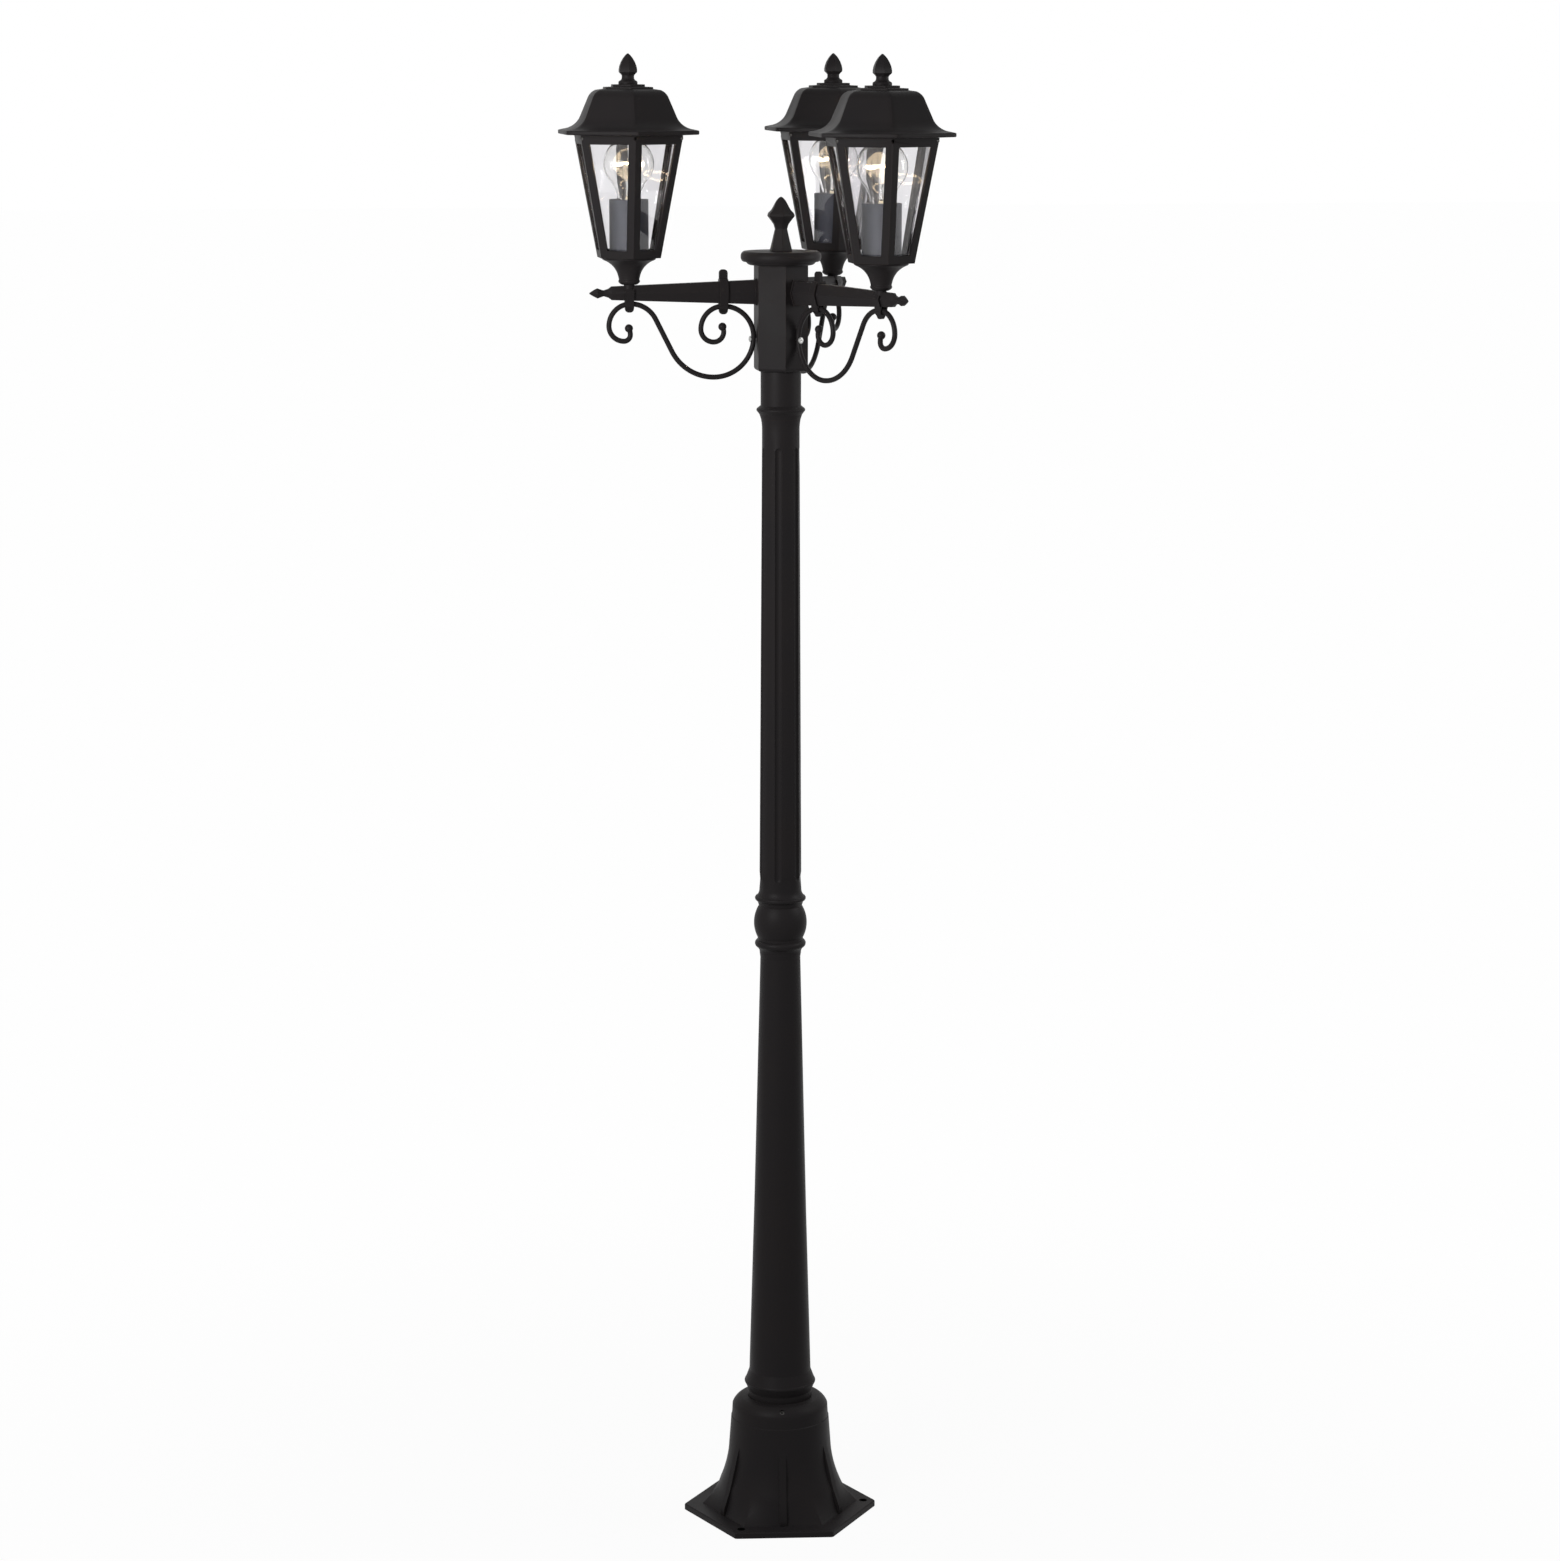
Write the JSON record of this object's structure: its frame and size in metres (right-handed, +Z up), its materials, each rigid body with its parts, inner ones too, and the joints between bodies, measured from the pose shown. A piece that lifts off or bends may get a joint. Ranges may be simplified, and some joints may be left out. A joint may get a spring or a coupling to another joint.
{
  "type": "triple head lamp post",
  "caption": "Black cast garden lamp post with hexagonal glazed lanterns on scrolled arms, fluted upper post and flared hexagonal base.",
  "frame": {"origin": "middle of the base plate's underside, on the post's axis", "axes": "+Z up along the post; one arm points along -X, the others at 60 degrees either side of +X"},
  "size_m": [0.4286, 0.495, 1.8],
  "materials": {
    "cast_black": "black satin powder coat over cast aluminium",
    "wrought_black": "satin paint on bent steel rod and strap",
    "screw_steel": "dull zinc",
    "stem_steel": "dull zinc",
    "pane_glass": "clear, polished",
    "bulb_glass": "clear, polished",
    "mount_glass": "clear",
    "lamp_cap": "bright",
    "sleeve_grey": "matt grey-blue",
    "holder_white": "unglazed"
  },
  "bodies": {
    "post": {"base_casting": "cast_black", "lower_post": "cast_black", "post_coupling": "cast_black", "upper_post": "cast_black", "neck_collar": "cast_black", "hub": "cast_black", "hub_cap": "cast_black", "hub_finial": "cast_black", "base_set_screws": "screw_steel", "arm_nuts": "stem_steel", "scroll_screws": "screw_steel", "stem_nuts": "stem_steel", "arm_left": "cast_black", "scroll_left": "wrought_black", "inner_clamp_left": "wrought_black", "outer_clamp_left": "wrought_black", "stem_left": "stem_steel", "cup_left": "cast_black", "frame_left": "cast_black", "roof_screws_left": "screw_steel", "glass_left": "pane_glass", "lampholder_left": "holder_white", "sleeve_left": "sleeve_grey", "arm_front": "cast_black", "scroll_front": "wrought_black", "inner_clamp_front": "wrought_black", "outer_clamp_front": "wrought_black", "stem_front": "stem_steel", "cup_front": "cast_black", "frame_front": "cast_black", "roof_screws_front": "screw_steel", "glass_front": "pane_glass", "lampholder_front": "holder_white", "sleeve_front": "sleeve_grey", "arm_back": "cast_black", "scroll_back": "wrought_black", "inner_clamp_back": "wrought_black", "outer_clamp_back": "wrought_black", "stem_back": "stem_steel", "cup_back": "cast_black", "frame_back": "cast_black", "roof_screws_back": "screw_steel", "glass_back": "pane_glass", "lampholder_back": "holder_white", "sleeve_back": "sleeve_grey"},
    "lid_left": {"roof_left": "cast_black", "roof_finial_left": "cast_black"},
    "bulb_left": {"bulb_cap_left": "lamp_cap", "bulb_glass_left": "bulb_glass", "bulb_mount_left": "mount_glass"},
    "lid_front": {"roof_front": "cast_black", "roof_finial_front": "cast_black"},
    "bulb_front": {"bulb_cap_front": "lamp_cap", "bulb_glass_front": "bulb_glass", "bulb_mount_front": "mount_glass"},
    "lid_back": {"roof_back": "cast_black", "roof_finial_back": "cast_black"},
    "bulb_back": {"bulb_cap_back": "lamp_cap", "bulb_glass_back": "bulb_glass", "bulb_mount_back": "mount_glass"}
  },
  "joints": [
    {"name": "lid_lift_left", "type": "slide", "parent": "post", "child": "lid_left", "axis": [0, 0, 1], "range_m": [0, 0.12]},
    {"name": "bulb_out_left", "type": "slide", "parent": "post", "child": "bulb_left", "axis": [0, 0, 1], "range_m": [0, 0.028]},
    {"name": "lid_lift_front", "type": "slide", "parent": "post", "child": "lid_front", "axis": [0, 0, 1], "range_m": [0, 0.12]},
    {"name": "bulb_out_front", "type": "slide", "parent": "post", "child": "bulb_front", "axis": [0, 0, 1], "range_m": [0, 0.028]},
    {"name": "lid_lift_back", "type": "slide", "parent": "post", "child": "lid_back", "axis": [0, 0, 1], "range_m": [0, 0.12]},
    {"name": "bulb_out_back", "type": "slide", "parent": "post", "child": "bulb_back", "axis": [0, 0, 1], "range_m": [0, 0.028]}
  ]
}
